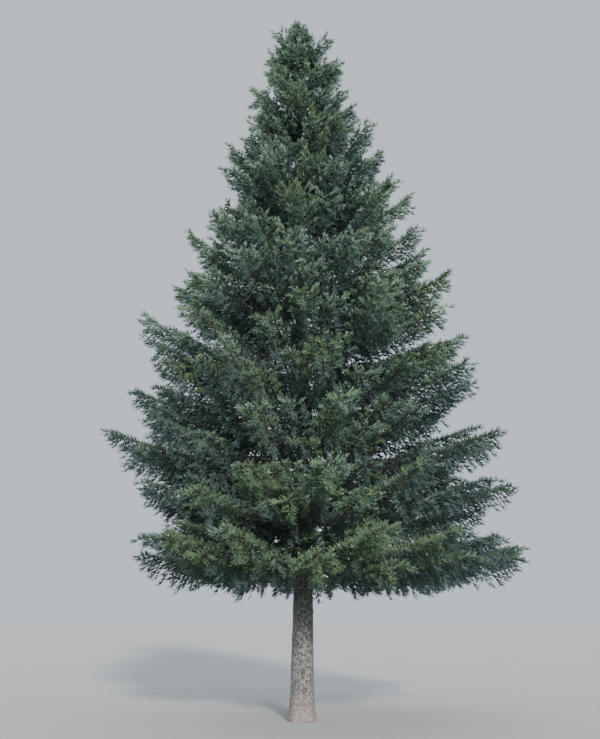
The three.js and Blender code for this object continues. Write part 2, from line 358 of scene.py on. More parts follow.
def joined(*groups):
    """Several groups of stems as one."""
    facts = {
        name: np.concatenate([g.facts[name] for g in groups]) for name in groups[0].facts
    }
    points = np.concatenate([g.points for g in groups])
    return Stems(points, np.concatenate([g.radius for g in groups]), **facts)


def side_frame(along, facing=UPWARD):
    """The direction across each one, and the normal of their plane, which looks towards facing."""
    across = np.cross(facing, along)
    flat = np.linalg.norm(across, axis=1) < 1e-3
    across[flat] = (1.0, 0.0, 0.0)
    across = unit(across)
    return across, np.cross(along, across)


def out_of_crown(places, sky, yaw):
    """Directions that look out of the crown, turned aside by yaw and raised towards the sky."""
    x, y, _ = unit(places * (1.0, 1.0, 0.0)).T
    turned = x * np.cos(yaw) - y * np.sin(yaw), x * np.sin(yaw) + y * np.cos(yaw)
    return unit(np.stack([*turned, np.broadcast_to(sky, x.shape)], axis=1))


def mounds(places, spacing, turn=0.0):
    """A smooth unevenness through the crown, about -1 to 1, with swells one spacing apart."""
    x, y, z = (places * (2 * math.pi / spacing)).T
    return 0.5 * (
        np.sin(x + 1.6 * np.sin(0.43 * z + turn) + turn)
        + np.sin(y + 1.5 * np.sin(0.47 * x + 2.0) + 2.1 * turn)
        + np.sin(1.2 * z + 1.4 * np.sin(0.51 * y) + 0.7 + turn)
    )


def roots(parents, spacing, first, last, crowd=1.0):
    """Where side stems grow: the parent of each, its place among them and how far along it is.

    With crowd below 1 they stand closer towards the parent's end.
    """
    first = np.broadcast_to(first, len(parents))
    last = np.broadcast_to(last, len(parents))
    count = np.maximum(1, np.rint(parents.lengths() * (last - first) / spacing)).astype(int)
    index = np.repeat(np.arange(len(parents)), count)
    order = np.arange(len(index)) - np.repeat(np.cumsum(count) - count, count)
    share = first[index] + (last - first)[index] * ((order + 0.5) / count[index]) ** crowd
    return index, order, share


def branch(
    parents, index, share, side, length, spread, tilt, rng, radius, level,
    turn_up=0.3, facing=UPWARD,
):
    """Side stems that leave their parents at an angle, bend forward and turn up at the end.

    With level below 1 they keep more level than what bears them. They spread out flat, or in the
    plane that faces the given way.
    """
    place, along = parents.at(index, share)
    along = unit(along * (1.0, 1.0, level))
    across, up = side_frame(along, facing)
    n = len(index)
    angle = spread * (1 + BRANCH_PLAY * rng.uniform(-1, 1, n))
    tilt = tilt + BRANCH_PLAY * rng.uniform(-1, 1, n)

    def heading(angle, tilt):
        return unit(
            along * np.cos(angle)[:, None]
            + across * (side * np.sin(angle))[:, None]
            + up * tilt[:, None]
        )

    half = (length / 2)[:, None]
    bend = place + half * heading(angle, tilt)
    end = bend + half * heading(angle * END_ANGLE, tilt + turn_up)
    facts = {name: values[index] for name, values in parents.facts.items()}
    return Stems(np.stack([place, bend, end], axis=1), radius, **facts)


def tuft_room(bough):
    """The room past the ends of a bough's limbs that their needles take up."""
    lowness = 1 - clamp01(bough["rise"] * 2)
    room = mix(TUFT_ROOM, TUFT_ROOM_LOW, lowness)
    room += TUFT_ROOM_LEFT * lowness * max(0.0, -math.cos(bough["azimuth"]))
    return room + TUFT_ROOM_TOP * clamp01(3.0 * bough["rise"] - 1.9)


def grow_limbs(boughs, rng):
    """The bough of each mass and the limbs beside, above and below it."""
    points, radius, facts = [], [], []
    for bough in boughs:
        rise = bough["rise"]
        low = bough["tier"] < TIERS_WITH_LOW_LIMBS
        for number, (aside, lift, share) in enumerate(LIMBS_LOW if low else LIMBS_HIGH):
            if number:
                aside += rng.uniform(-LIMB_ASIDE_PLAY, LIMB_ASIDE_PLAY)
                lift += rng.uniform(-LIMB_LIFT_PLAY, LIMB_LIFT_PLAY)
                share *= rng.uniform(*LIMB_REACH_PLAY)
            share -= tuft_room(bough) / bough["reach"]
            lift *= mix(1.0, TOP_LIMB_LIFT, clamp01(6 * rise - 5))
            end = space_point(bough, share, aside, lift)
            reach = bough["reach"] * share
            slopes = (bough["start_slope"] + bough["end_slope"]) / 2
            root = trunk_centre(end.z - reach * slopes)
            turn = math.atan2(end.y - root.y, end.x - root.x)
            inside = 0.5 * trunk_radius(root.z)
            start = root + level_way(turn) * inside
            bend = (start + end) / 2
            bend.z = root.z + reach * bough["start_slope"] / 2
            points.append([start, bend, end])
            radius.append(bough["radius"] * (rng.uniform(*LIMB_THICKNESS) if number else 1))
            facts.append({
                "tier": bough["tier"],
                "rise": rise,
                "tone": rng.uniform(-1, 1),
                "hue": rng.uniform(-1, 1),
                "first": mix(*FIRST_TWIG, rise**0.8) * rng.uniform(*FIRST_TWIG_PLAY),
                "main": number == 0 and bough["has_bough"],
            })
    return Stems(points, radius, **{name: [fact[name] for fact in facts] for name in facts[0]})


def plain_limbs(points, radius, tier, rise, first, rng):
    """Limbs that are no bough of the solids, each with its own tone and hue."""
    n = len(points)
    return Stems(
        points,
        radius,
        tier=tier,
        rise=rise,
        tone=rng.uniform(-1, 1, n),
        hue=rng.uniform(-1, 1, n),
        first=np.full(n, first),
        main=np.zeros(n, bool),
    )


def grow_leader(rng):
    """The top shoot above the trunk, with the side stems that ring it."""
    foot = trunk_centre(TRUNK_LENGTH - LEADER_ROOT_BELOW_TRUNK_TOP)
    top = Vector((trunk_centre(TRUNK_LENGTH).x, 0.0, TREE_HEIGHT - 0.85 * TUFT_ROOM))
    points = [[foot, (foot + top) / 2, top]]
    turn = 0.4
    lowest = TRUNK_LENGTH - RINGS_START_BELOW_TRUNK_TOP
    highest = TREE_HEIGHT - RINGS_END_BELOW_TREE_TOP
    for ring, height in enumerate(np.linspace(lowest, highest, LEADER_RINGS)):
        share = ring / (LEADER_RINGS - 1)
        for _ in range(6 if ring < RINGS_OF_SIX else 5):
            turn += SPIRAL_TURN
            root = Vector((top.x, 0.0, height + rng.uniform(-0.03, 0.03)))
            out = level_way(turn)
            reach = mix(*RING_STEM_LENGTH, share) * rng.uniform(0.85, 1.05)
            up = Vector((0, 0, reach * mix(*RING_STEM_SLOPE, share)))
            end = root + out * reach * RING_STEM_OUT + up
            end.z = min(end.z, TREE_HEIGHT - TUFT_ROOM - 0.04)
            bend_out, bend_up = RING_STEM_BEND
            bend = root + out * reach * bend_out + Vector((0, 0, reach * bend_up))
            points.append([root, bend, end])
    n = len(points)
    radius = np.full(n, RING_STEM_RADIUS)
    radius[0] = LEADER_RADIUS
    top_tier = np.full(n, len(BOUGHS_PER_TIER) - 1)
    return plain_limbs(points, radius, top_tier, np.ones(n), FIRST_TWIG_ON_RING_STEM, rng)


def grow_inner_limbs(rng):
    """Short limbs round the trunk between the boughs, which keep it in the shade.

    The lowest are the most, droop, and crowd and reach towards the front.
    """
    low, high = INNER_LIMB_SPACING
    dense_to = CROWN_FOOT + INNER_LIMBS_DENSE_OVER
    heights = np.concatenate([
        np.arange(CROWN_FOOT - 0.2, dense_to, low), np.arange(dense_to, TRUNK_LENGTH, high)
    ])
    points, rise = [], []
    for number, height in enumerate(heights):
        share = max(0.0, height - CROWN_FOOT) / (TREE_HEIGHT - CROWN_FOOT)
        lowness = clamp01((dense_to - height) / INNER_LIMBS_DENSE_OVER)
        root = trunk_centre(height)
        aside = (SPIRAL_TURN * number + rng.uniform(-0.3, 0.3)) % (2 * math.pi) - math.pi
        aside *= mix(1.0, mix(0.3, 1.0, (aside / math.pi) ** 2), lowness)
        out = level_way(aside - math.pi / 2)
        part = mix(*INNER_LIMB_SHARE, share) + 0.12 * clamp01(4 * share - 2.6)
        reach = crown_reach(height) * part * rng.uniform(0.8, 1.1)
        reach *= 1 + 0.6 * lowness * max(0.0, math.cos(aside)) ** 4
        up = reach * mix(*INNER_LIMB_SLOPE, share) - INNER_LIMB_DROOP * lowness
        bend = root + out * reach * 0.5 + Vector((0, 0, up * 0.3))
        points.append([root, bend, root + out * reach + Vector((0, 0, up))])
        rise.append(share)
    tier = np.rint((heights - FIRST_TIP_HEIGHT) / TIP_SPACING)
    tier = np.clip(tier, 0, len(BOUGHS_PER_TIER) - 1).astype(int)
    radius = np.full(len(points), INNER_LIMB_RADIUS)
    return plain_limbs(points, radius, tier, rise, FIRST_TWIG_ON_INNER_LIMB, rng)


def alternate(order):
    """The two sides in turn."""
    return np.where(order % 2, 1.0, -1.0)


def near_top(places):
    """Side twigs shorten over the last metre below the tree's top."""
    return np.clip(TREE_HEIGHT + 0.15 - places[:, 2], 0.3, 1.0)


def with_crest(twigs, hangs):
    """Twigs that know whether they hang, and how high they leave their limb."""
    twigs.facts["hangs"] = np.full(len(twigs), hangs)
    twigs.facts["crest"] = twigs.points[:, 0, 2]
    return twigs


def redraw_shades(stems, share, rng):
    """Deal part of each stem's tone and hue anew, so that it differs from what bears it."""
    for fact in ("tone", "hue"):
        drawn = rng.uniform(-1, 1, len(stems))
        stems.facts[fact] = (1 - share) * stems.facts[fact] + share * drawn


def grow_side_twigs(limbs, crown, rng):
    """Twigs that arch over on both sides of every limb, and more that hang below like a skirt."""
    spacing = crown.twig_spacing * mix(1.0, TWIGS_CLOSER_AT_TOP, limbs.facts["rise"])
    index, order, share = roots(limbs, spacing, limbs.facts["first"], 1.0, TWIG_CROWD)
    shift = rng.uniform(-0.3, 0.3, len(share)) * crown.twig_spacing / limbs.lengths()[index]
    share = np.minimum(share + shift, 0.99)
    rise = limbs.facts["rise"][index]
    taper = np.clip((1.22 - share) / 0.38, 0, 1) ** 0.7
    place, _ = limbs.at(index, share)
    swell = mounds(place, MOUND_SPACING)
    length = mix(*ARCHED_LENGTH, rise) * taper * rng.uniform(0.75, 1.15, len(index))
    length *= (0.96 + 0.16 * swell) * near_top(place)
    side = alternate(order)
    tilt = mix(*ARCHED_TILT, rise)
    thick = TWIG_THICKNESS + 0.007 * length
    turn_up = mix(*ARCHED_TURN_UP, rise)
    arched = branch(
        limbs, index, share, side, length, ARCHED_SPREAD, tilt, rng, thick, ARCHED_LEVEL, turn_up
    )

    index, _, share = roots(limbs, spacing, limbs.facts["first"], 0.98, TWIG_CROWD)
    rise = limbs.facts["rise"][index]
    taper = np.clip((1.25 - share) / 0.42, 0, 1)
    place, _ = limbs.at(index, share)
    swell = mounds(place, MOUND_SPACING)
    lowest = np.interp(limbs.facts["tier"][index], (0, 2), (HUNG_IN_LOWEST_TIER, 1.0))
    length = mix(*HUNG_LENGTH, rise**0.7) * rng.uniform(0.6, 1.1, len(index)) * taper * lowest
    length *= (0.92 + 0.38 * swell) * near_top(place)
    side = rng.uniform(-0.8, 0.8, len(index))
    thick = TWIG_THICKNESS + 0.006 * length
    tilt = HUNG_TILT
    hung = branch(
        limbs, index, share, side, length, HUNG_SPREAD, tilt, rng, thick, HUNG_LEVEL, HUNG_TURN_UP
    )
    twigs = joined(with_crest(arched, 0.0), with_crest(hung, 1.0))
    twigs.facts["yaw"] = rng.uniform(-PLANE_TURN, PLANE_TURN, len(twigs))
    redraw_shades(twigs, 0.45, rng)
    return twigs


def shoots_on(parents, index, share, side, length, spread, tilt, foot, end, rng):
    """Shoots in planes that look out of the crown, more or less.

    The foot is half their width at the root, which narrows towards the top of the tree.
    """
    place, along = parents.at(index, share)
    facing = out_of_crown(place, SHOOT_SKY, parents.facts["yaw"][index])
    thick = np.full(len(index), SHOOT_RADIUS)
    shoots = branch(
        parents, index, share, side, length, spread, tilt, rng, thick, SHOOT_LEVEL, facing=facing
    )
    shoots.facts["end"] = np.full(len(index), end)
    slim = np.clip(2 * parents.facts["rise"][index] - 1, 0, 1)
    shoots.facts["foot"] = along * (foot * mix(1.0, SHOOT_FOOT_AT_TOP, slim))[:, None]
    return shoots


def grow_shoots(limbs, twigs, crown, rng):
    """The shoots that carry needles: along each twig, in a tuft at its end, and on limb ends."""
    index, order, share = roots(twigs, crown.shoot_spacing, 0.14, 0.94)
    n = len(index)
    hangs = twigs.facts["hangs"][index]
    length = crown.shoot_length * rng.uniform(0.75, 1.2, n) * (1.05 - 0.2 * share)
    length *= mix(1.0, HUNG_SHOOTS_LONGER, hangs)
    side = alternate(order)
    spread = np.radians(mix(*SIDE_SHOOT_ANGLE, hangs))
    tilt = 0.15 + 0.35 * rng.uniform(-1, 1, n)
    foot = crown.shoot_spacing * SHOOT_FOOT
    beside = shoots_on(twigs, index, share, side, length, spread, tilt, foot, 0.0, rng)

    index = np.repeat(np.arange(len(twigs)), 2)
    n = len(index)
    length = crown.shoot_length * rng.uniform(0.8, 1.1, n)
    spread = np.tile([0.1, END_SHOOT_ANGLE], len(twigs))
    side = rng.choice([-1.0, 1.0], n)
    share = np.tile([0.98, 0.9], len(twigs))
    tilt = 0.1 + 0.25 * rng.uniform(-1, 1, n)
    ends = shoots_on(twigs, index, share, side, length, spread, tilt, foot * 0.4, 1.0, rng)

    limbs.facts["yaw"] = np.zeros(len(limbs))
    limbs.facts["hangs"] = np.zeros(len(limbs))
    limbs.facts["crest"] = limbs.points[:, 2, 2]
    index, order, share = roots(limbs, crown.shoot_spacing * 0.5, 0.5, 1.0)
    n = len(index)
    length = crown.shoot_length * rng.uniform(0.85, 1.1, n) * (1.3 - 0.35 * share)
    side = alternate(order) * rng.uniform(0.2, 1, n)
    tilt = 0.45 + 0.45 * rng.uniform(-1, 1, n)
    foot = foot * 0.6
    crest = shoots_on(limbs, index, share, side, length, CREST_SHOOT_ANGLE, tilt, foot, 1.0, rng)
    crest.facts["crest"] = crest.points[:, 0, 2]
    shoots = joined(beside, ends, crest)
    shoots.facts["drop"] = shoots.facts["crest"] - shoots.points[:, 2, 2]
    redraw_shades(shoots, 0.15, rng)
    return shoots


# By how far out in the crown they grow: the share of shoots that live on, and of their needles.
DEPTHS = (0.3, 0.5, 0.62, 0.72)
SHOOTS_KEPT = (0.75, 0.95, 1.0, 1.0)
NEEDLES_KEPT = (0.0, 0.08, 0.4, 0.95)

# Heights over which the crown's lower fringe sets in, where shoots keep their needles at any depth.
FRINGE_HEIGHTS = (2.3, 2.1)


def inside_tree(stems, spare):
    """Which stems stay inside the box of the solids, with room for their needles."""
    low = np.array(SOLID_LOW) - spare
    high = np.array(SOLID_HIGH) + spare
    ends = stems.points[:, 1:]
    return ((ends > low) & (ends < high)).all(axis=(1, 2))


def crown_depth(stems):
    """How far out towards the crown's own outline each stem's end is, from 0 to about 1."""
    across, behind, height = stems.points[:, 2].T
    out = np.hypot(across, behind)
    leftness = np.clip(-across / np.maximum(out, 0.01), 0, 1)
    tier = (height - FIRST_TIP_HEIGHT) / TIP_SPACING
    shorter = np.interp(tier, np.arange(len(LEFT_SHORTER)), LEFT_SHORTER)
    reach = np.array([crown_reach(z) for z in height]) * (1 - shorter * leftness)
    return out / np.maximum(reach, 0.15)


def grow_crown(crown):
    """Limbs, twigs and shoots of the whole crown. It gives the same growth each time."""
    rng = np.random.default_rng(crown.seed)
    limbs = joined(grow_limbs(plan_boughs(), rng), grow_inner_limbs(rng), grow_leader(rng))
    twigs = grow_side_twigs(limbs, crown, rng)
    twigs = twigs.kept(inside_tree(twigs, 0.0))
    shoots = grow_shoots(limbs, twigs, crown, rng)
    shoots = shoots.kept(inside_tree(shoots, 0.01))
    shoots.facts["depth"] = crown_depth(shoots)
    lasting = np.interp(shoots.facts["depth"], DEPTHS, SHOOTS_KEPT)
    lasting = np.maximum(lasting, 2 * shoots.facts["rise"] - 0.3)
    shoots = shoots.kept(rng.uniform(0, 1, len(shoots)) < lasting)
    return limbs, twigs, shoots


def new_piece(name, mesh, materials, nodes):
    """An object at the origin that rides on the tree, stands for solids and takes a finish."""
    piece = bpy.data.objects.new(name, mesh)
    bpy.context.scene.collection.objects.link(piece)
    for material in materials:
        mesh.materials.append(material)
    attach(piece, BODY)
    if nodes:
        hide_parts(*nodes)
    return piece


def mesh_of_triangles(name, points, triangles, tones=None):
    """A mesh of separate triangles, with a material index for each where tones are given."""
    mesh = bpy.data.meshes.new(name)
    mesh.vertices.add(len(points))
    mesh.vertices.foreach_set("co", np.ascontiguousarray(points, np.float32).ravel())
    mesh.loops.add(triangles.size)
    mesh.loops.foreach_set("vertex_index", np.ascontiguousarray(triangles, np.int32).ravel())
    mesh.polygons.add(len(triangles))
    starts = np.arange(0, triangles.size, 3, dtype=np.int32)
    mesh.polygons.foreach_set("loop_start", starts)
    if tones is not None:
        mesh.polygons.foreach_set("material_index", np.ascontiguousarray(tones, np.int32))
    mesh.update(calc_edges=True)
    return mesh


def repeated(faces, shapes):
    """The faces of one shape, for each of many shapes that are rows of corners."""
    return np.array(faces)[None] + shapes.shape[1] * np.arange(len(shapes))[:, None, None]


HALF_WAY_SIZE = 0.65


def stem_mesh(name, stems):
    """Many thin three-sided stems as one mesh: a ring at the root, one half way, and a point."""
    n = len(stems)
    turns = np.arange(3) * 2 * math.pi / 3
    rings = []
    for share, size in ((0.0, 1.0), (0.5, HALF_WAY_SIZE)):
        place, along = stems.at(np.arange(n), np.full(n, share))
        across, up = side_frame(along)
        radius = (stems.radius * size)[:, None]
        for turn in turns:
            rings.append(place + radius * (math.cos(turn) * across + math.sin(turn) * up))
    rings.append(stems.points[:, 2])
    points = np.stack(rings, axis=1)
    sides = [(k, (k + 1) % 3) for k in range(3)]
    faces = [f for a, b in sides for f in ((a, b, b + 3), (a, b + 3, a + 3), (a + 3, b + 3, 6))]
    faces.append((2, 1, 0))
    return mesh_of_triangles(name, points.reshape(-1, 3), repeated(faces, points).reshape(-1, 3))


# How needles stand on a shoot: their turns round it, and their lean at its root and at its end.
NEEDLE_TURNS = np.array([-1.5, 1.5, -0.7, 0.7, 0.0])
NEEDLE_TURN_PLAY = 0.35
NEEDLE_LEAN = (64, 34)
NEEDLE_LEAN_PLAY = 0.2
NEEDLE_SIZE_PLAY = (0.82, 1.12)
NEEDLE_FACE_PLAY = 0.3
NEEDLE_WIDEST = 0.44
NEEDLE_FOLD = 0.45


def needle_blades(shoots, count, facing, crown, rng):
    """Kites of two faces, folded along the middle like the real blade, round every shoot.

    Returns their corners and the shoot that each one grows on.
    """
    shoot = np.repeat(np.arange(len(shoots)), count)
    step = np.arange(len(shoot)) - np.repeat(np.cumsum(count) - count, count)
    share = (step + 0.6) / count[shoot]
    place, along = shoots.at(shoot, share)
    across, up = side_frame(along, facing[shoot])
    turn = NEEDLE_TURNS[step % len(NEEDLE_TURNS)]
    turn = turn + rng.uniform(-NEEDLE_TURN_PLAY, NEEDLE_TURN_PLAY, len(step))
    outward = across * np.sin(turn)[:, None] + up * np.cos(turn)[:, None]
    lean = np.radians(mix(*NEEDLE_LEAN, share**2))
    lean = lean + rng.uniform(-NEEDLE_LEAN_PLAY, NEEDLE_LEAN_PLAY, len(step))
    heading = unit(along * np.cos(lean)[:, None] + outward * np.sin(lean)[:, None])
    scale = rng.uniform(*NEEDLE_SIZE_PLAY, len(step)) * (1 - 0.25 * np.abs(2 * share - 0.9) ** 2)
    length = (crown.needle_length * scale)[:, None]
    half_width = (crown.needle_width / 2 * scale)[:, None]
    looks_to = facing[shoot] + rng.normal(0, NEEDLE_FACE_PLAY, (len(step), 3))
    blade = unit(np.cross(heading, looks_to))
    fold = np.cross(heading, blade) * half_width * NEEDLE_FOLD
    middle = place + heading * length * NEEDLE_WIDEST - fold
    tip = place + heading * length
    edge = blade * half_width
    return np.stack([place, middle + edge, tip, middle - edge], axis=1), shoot


TOOTH_SET_BACK = 0.012
TOOTH_LENGTH_PLAY = (0.85, 1.2)
TOOTH_LEAN = 0.6


def needle_mesh(name, shoots, tones, crown, rng):
    """The needles of every shoot, over two narrow teeth that close the shade behind them, in a
    darker painted shade.

    The teeth of a twig's shoots stand side by side, so they make one toothed spray.
    """
    kept = np.interp(shoots.facts["depth"], DEPTHS, NEEDLES_KEPT)
    low = gone(shoots.points[:, 2, 2], *FRINGE_HEIGHTS)
    high = np.clip(2 * shoots.facts["rise"] - 0.9, 0, 0.8)
    kept = np.maximum(kept, np.maximum(0.8 * low, high)) * NEEDLES_BY_SHADE[tones]
    count = np.floor(crown.needles_per_shoot * kept + rng.uniform(0, 1, len(shoots))).astype(int)
    sky = np.clip(0.9 - 3.0 * shoots.facts["drop"], 0.05, 0.9)
    facing = out_of_crown(shoots.points[:, 0], sky, shoots.facts["yaw"])
    fine, fine_shoot = needle_blades(shoots, count, facing, crown, rng)
    root = shoots.points[:, 0]
    foot = shoots.facts["foot"]
    behind = root - TOOTH_SET_BACK * facing
    out = shoots.points[:, 2] - root
    back_tip, fore_tip = (
        root + out * rng.uniform(*TOOTH_LENGTH_PLAY, (len(shoots), 1)) + lean * foot
        for lean in (-TOOTH_LEAN, TOOTH_LEAN)
    )
    teeth = np.stack([root - foot, behind, root + foot, back_tip, fore_tip], axis=1)
    points = np.concatenate([fine.reshape(-1, 3), teeth.reshape(-1, 3)])
    fine_faces = repeated([(0, 1, 2), (0, 2, 3)], fine)
    tooth_faces = repeated([(0, 1, 3), (1, 2, 4)], teeth) + len(fine) * fine.shape[1]
    triangles = np.concatenate([fine_faces, tooth_faces]).reshape(-1, 3)
    # The teeth take a darker copy of their shoot's shade, as painted shade.
    dealt = np.concatenate([tones[fine_shoot], PAINTED_SHADE_BEHIND[tones]])
    return mesh_of_triangles(name, points, triangles, np.repeat(dealt, 2))


def extrude_ring(bm, edges):
    """A new ring pulled out of the last one. Returns its vertices and edges."""
    made = bmesh.ops.extrude_edge_only(bm, edges=edges)["geom"]
    ring = [v for v in made if isinstance(v, bmesh.types.BMVert)]
    inside = set(ring)
    rim = [
        e for e in made
        if isinstance(e, bmesh.types.BMEdge) and e.verts[0] in inside and e.verts[1] in inside
    ]
    return ring, rim


def tube(bm, places, radii, sides, relief=None):
    """A closed limb through the places, ring by ring. relief(turn, step) adds to its radius."""
    ring = bmesh.ops.create_circle(bm, cap_ends=True, segments=sides, radius=1.0)["verts"]
    rim = list({e for v in ring for e in v.link_edges})
    turns = {v: math.atan2(v.co.y, v.co.x) for v in ring}
    last = len(places) - 1
    for step, (place, radius) in enumerate(zip(places, radii)):
        if step:
            before = {tuple(v.co): turns[v] for v in ring}
            ring, rim = extrude_ring(bm, rim)
            turns = {v: before[tuple(v.co)] for v in ring}
        ahead = (places[min(step + 1, last)] - places[max(step - 1, 0)]).normalized()
        level = Vector((-ahead.y, ahead.x, 0.0))
        level = level.normalized() if level.length > 1e-3 else Vector((0.0, 1.0, 0.0))
        upper = ahead.cross(level)
        for v in ring:
            turn = turns[v]
            out = radius + (relief(turn, step) if relief else 0.0)
            v.co = place + (level * math.cos(turn) + upper * math.sin(turn)) * out
    bmesh.ops.edgeloop_fill(bm, edges=rim)
    bmesh.ops.recalc_face_normals(bm, faces=bm.faces)


def finished_mesh(name, bm):
    """The shape as a smooth-shaded mesh. The bmesh is freed."""
    mesh = bpy.data.meshes.new(name)
    bm.to_mesh(mesh)
    bm.free()
    mesh.polygons.foreach_set("use_smooth", [True] * len(mesh.polygons))
    return mesh


COLLAR_HEIGHT = 0.35
COLLAR_RINGS = 1.6
LIMB_TIP_RADIUS = 0.0042
LIMB_TAPER = 0.8


def limb_mesh(name, limbs, chosen, step, sides, relief_depth):
    """Limbs as tapering tubes, each with a collar at its root and uneven bark."""
    whole = bmesh.new()
    for number in np.flatnonzero(chosen):
        start, bend, end = (Vector(p) for p in limbs.points[number])
        length = (bend - start).length + (end - bend).length
        count = max(4, round(length / step))
        shares = [k / count for k in range(count + 1)]
        places = [on_curve(start, bend, end, u) for u in shares]
        radii = [mix(limbs.radius[number], LIMB_TIP_RADIUS, u**LIMB_TAPER) for u in shares]

        def relief(turn, k, number=number, radii=radii):
            spot = Vector((math.cos(turn) * 1.3, math.sin(turn) * 1.3, k * 0.55 + number * 7.1))
            collar = COLLAR_HEIGHT * math.exp(-k / COLLAR_RINGS)
            return radii[k] * (relief_depth * noise.noise(spot) + collar)

        one = bmesh.new()
        tube(one, places, radii, sides, relief)
        part = bpy.data.meshes.new("limb")
        one.to_mesh(part)
        one.free()
        whole.from_mesh(part)
        bpy.data.meshes.remove(part)
    return finished_mesh(name, whole)


def fill_inputs(tree, node, given):
    """Link each given socket to its input, and set the others to the value given."""
    for place, value in given.items():
        if isinstance(value, bpy.types.NodeSocket):
            tree.links.new(value, node.inputs[place])
        else:
            node.inputs[place].default_value = value


def add_node(tree, kind, given, **settings):
    """A new shader node with its settings and inputs. Returns its outputs."""
    node = tree.nodes.new(kind)
    for name, value in settings.items():
        setattr(node, name, value)
    fill_inputs(tree, node, given)
    return node.outputs


def scaled(tree, vector, scale):
    return add_node(tree, "ShaderNodeMapping", {"Vector": vector, "Scale": scale})["Vector"]


def noise_on(tree, vector, scale, detail, roughness):
    given = {"Vector": vector, "Scale": scale, "Detail": detail, "Roughness": roughness}
    return add_node(tree, "ShaderNodeTexNoise", given)["Fac"]


def ramp(tree, value, start, stop, low=0.0, high=1.0):
    """Low up to where the value starts, high from where it stops, and even in between."""
    given = {"Value": value, "From Min": start, "From Max": stop, "To Min": low, "To Max": high}
    return add_node(tree, "ShaderNodeMapRange", given)["Result"]


def product(tree, first, second):
    return add_node(tree, "ShaderNodeMath", {0: first, 1: second}, operation="MULTIPLY")["Value"]


def mixed(tree, share, first, second, blend="MIX"):
    given = {"Factor": share, "A": first, "B": second}
    return add_node(tree, "ShaderNodeMix", given, data_type="RGBA", blend_type=blend)["Result"]


def bark_group():
    """Mottled bark: colour, roughness and height from the piece's own coordinates."""
    name = "fir bark"
    if name in bpy.data.node_groups:
        return bpy.data.node_groups[name]
    group = bpy.data.node_groups.new(name, "ShaderNodeTree")
    for label, kind in (
        ("Vector", "NodeSocketVector"),
        ("Ground Colour", "NodeSocketColor"),
        ("Patch Colour", "NodeSocketColor"),
        ("Crack Colour", "NodeSocketColor"),
        ("Patch Scale", "NodeSocketFloat"),
        ("Line Scale", "NodeSocketFloat"),
        ("Patch Amount", "NodeSocketFloat"),
    ):
        group.interface.new_socket(label, in_out="INPUT", socket_type=kind)
    for label, kind in (
        ("Colour", "NodeSocketColor"),
        ("Roughness", "NodeSocketFloat"),
        ("Height", "NodeSocketFloat"),
    ):
        group.interface.new_socket(label, in_out="OUTPUT", socket_type=kind)
    given = group.nodes.new("NodeGroupInput").outputs

    # Pale patches, a little higher than wide.
    tall = scaled(group, given["Vector"], (1.0, 1.0, 0.6))
    patches = noise_on(group, tall, given["Patch Scale"], 8.0, 0.7)
    patch_share = product(group, ramp(group, patches, 0.42, 0.62), given["Patch Amount"])

    # Dark lines that run level round the stem.
    level = scaled(group, given["Vector"], (1.0, 1.0, 5.5))
    lines = noise_on(group, level, given["Line Scale"], 3.0, 0.55)
    line_edge = ramp(group, lines, 0.58, 0.68)

    # Resin blisters, which only raise the surface.
    blister_scale = product(group, given["Line Scale"], 2.6)
    blisters = add_node(
        group, "ShaderNodeTexVoronoi", {"Vector": level, "Scale": blister_scale, "Randomness": 1.0}
    )["Distance"]
    blister_edge = ramp(group, blisters, 0.34, 0.12)

    ground = mixed(group, patch_share, given["Ground Colour"], given["Patch Colour"])
    cracked = mixed(group, product(group, line_edge, 0.8), ground, given["Crack Colour"])
    rough = ramp(group, patches, 0.0, 1.0, 0.72, 0.95)
    steps = add_node(
        group, "ShaderNodeMath", {0: blister_edge, 1: line_edge}, operation="SUBTRACT"
    )["Value"]
    height = add_node(
        group, "ShaderNodeMath", {0: steps, 1: 0.5, 2: patches}, operation="MULTIPLY_ADD"
    )["Value"]
    add_node(group, "NodeGroupOutput", {"Colour": cracked, "Roughness": rough, "Height": height})
    return group


def principled(name):
    """A new material, its node tree and its shader."""
    material = bpy.data.materials.new(name)
    material.use_nodes = True
    tree = material.node_tree
    shader = tree.nodes["Principled BSDF"]
    return material, tree, shader


# The bark's colour is multiplied by this under the crown: a painted shadow of the crown.
PAINTED_CROWN_SHADOW_ON_BARK = (0.36, 0.4, 0.38)


def bark_material(name, ground, patch, crack, patch_scale, line_scale, amount, bump, flare=None):
    """Bark of the trunk or a limb.

    With flare given, that colour rises from the ground, and the bark darkens under the crown as a
    painted shadow of the crown.
    """
    if name in bpy.data.materials:
        return bpy.data.materials[name]
    material, tree, shader = principled(name)
    place = tree.nodes.new("ShaderNodeTexCoord").outputs["Object"]
    bark = add_node(tree, "ShaderNodeGroup", {
        "Vector": place,
        "Ground Colour": (*ground, 1.0),
        "Patch Colour": (*patch, 1.0),
        "Crack Colour": (*crack, 1.0),
        "Patch Scale": patch_scale,
        "Line Scale": line_scale,
        "Patch Amount": amount,
    }, node_tree=bark_group())
    colour = bark["Colour"]
    if flare:
        height = add_node(tree, "ShaderNodeSeparateXYZ", {"Vector": place})["Z"]
        colour = mixed(tree, ramp(tree, height, 0.5, 0.02, high=0.42), colour, (*flare, 1.0))
        # Painted shadow of the crown on the trunk, setting in at 1.25 m and full from 1.75 m up.
        painted_crown_shadow = ramp(tree, height, 1.25, 1.75)
        colour = mixed(tree, painted_crown_shadow, colour, (*PAINTED_CROWN_SHADOW_ON_BARK, 1.0), blend="MULTIPLY")
    relief = add_node(tree, "ShaderNodeBump", {
        "Height": bark["Height"], "Strength": 0.8, "Distance": bump
    })["Normal"]
    fill_inputs(tree, shader, {
        "Base Color": colour,
        "Roughness": bark["Roughness"],
        "Normal": relief,
        "Specular IOR Level": 0.25,
    })
    return material


